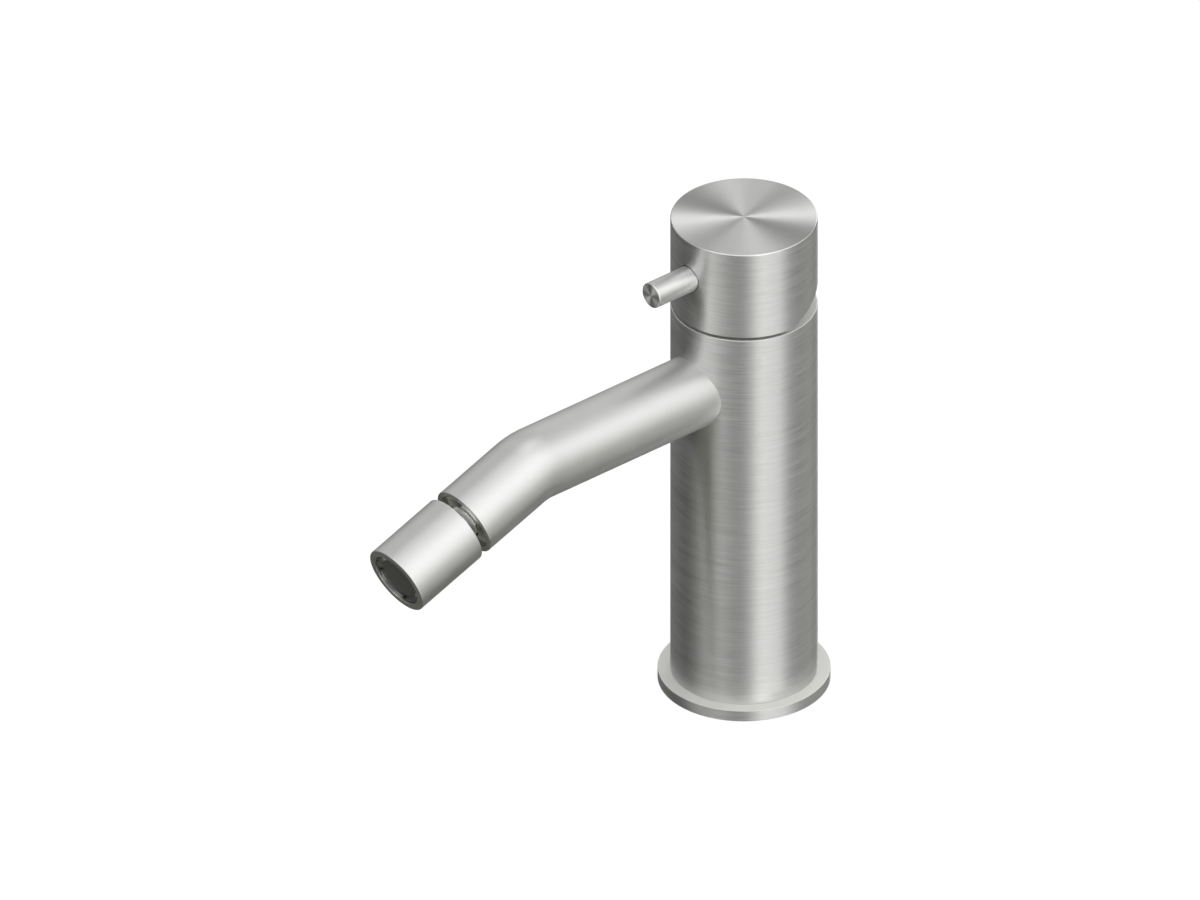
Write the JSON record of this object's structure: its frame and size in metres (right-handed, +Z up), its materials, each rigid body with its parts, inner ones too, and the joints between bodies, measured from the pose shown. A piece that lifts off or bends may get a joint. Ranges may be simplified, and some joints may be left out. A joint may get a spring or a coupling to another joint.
{
  "type": "bidet mixer",
  "caption": "Bidet mixer tap: slim round column, bent spout with a swivelling ball-jointed nozzle, and a cylindrical cap with a short pin lever.",
  "frame": {"origin": "centre of the base's underside, on the surface that the mixer stands on", "axes": "+Z up along the body's axis; the spout and the pin lever point towards -Y; +X to the right seen from the spout's side looking to the rear"},
  "size_m": [0.0516, 0.1669, 0.161],
  "materials": {
    "body_steel": "brushed stainless steel with fine lines round the axis",
    "spout_steel": "satin stainless steel",
    "spindle_steel": "plain turned steel",
    "polished_metal": "polished chrome",
    "brass": "machined brass",
    "cartridge_plastic": "matt moulded plastic",
    "seat_plastic": "low-friction white plastic",
    "aerator_plastic": "dark grey moulded plastic",
    "ceramic": "lapped ceramic",
    "rubber": "black rubber"
  },
  "bodies": {
    "base": {"base_flange": "body_steel", "base_gasket": "rubber", "body_sleeve": "body_steel", "valve_block": "brass", "block_seals": "rubber", "spout_tube": "spout_steel", "spout_end": "spout_steel", "swivel_seal": "rubber", "ball_retainer": "polished_metal", "cartridge_base": "cartridge_plastic", "inlet_seals": "rubber", "disc_seals": "rubber", "fixed_disc": "ceramic", "cartridge_housing": "cartridge_plastic", "cartridge_seal": "rubber", "cartridge_nut": "brass"},
    "carriage": {"spindle_guide": "cartridge_plastic", "pivot_pin": "spindle_steel"},
    "disc": {"moving_disc": "ceramic", "disc_carrier": "cartridge_plastic"},
    "handle": {"spindle": "spindle_steel", "handle_cap": "body_steel", "pin_lever": "body_steel", "grub_screw": "spindle_steel"},
    "swivel": {"ball_seat_ring": "seat_plastic"},
    "nozzle": {"swivel_ball": "polished_metal", "nozzle_shell": "spout_steel", "stud_seal": "rubber", "aerator_washer": "rubber", "aerator_housing": "polished_metal", "aerator_core": "aerator_plastic", "aerator_screens": "spindle_steel"}
  },
  "joints": [
    {"name": "temperature_swivel", "type": "hinge", "parent": "base", "child": "carriage", "pos_m": [0, 0, 0.125], "axis": [0, 0, 1], "range_deg": [-45, 45]},
    {"name": "flow_lift", "type": "hinge", "parent": "carriage", "child": "handle", "pos_m": [0, 0, 0.125], "axis": [-1, 0, 0], "range_deg": [0, 22]},
    {"name": "disc_shift", "type": "slide", "parent": "carriage", "child": "disc", "axis": [0, -1, 0], "range_m": [0, 0.00302]},
    {"name": "nozzle_spin", "type": "hinge", "parent": "base", "child": "swivel", "pos_m": [0, -0.10617, 0.10054], "axis": [0, -0.9397, -0.342], "continuous": true},
    {"name": "nozzle_tilt", "type": "hinge", "parent": "swivel", "child": "nozzle", "pos_m": [0, -0.10617, 0.10054], "axis": [1, 0, 0], "range_deg": [-15, 15]}
  ],
  "couplings": [
    {"joint": "disc_shift", "follows": "flow_lift", "m_per_rad": 0.0078537}
  ]
}
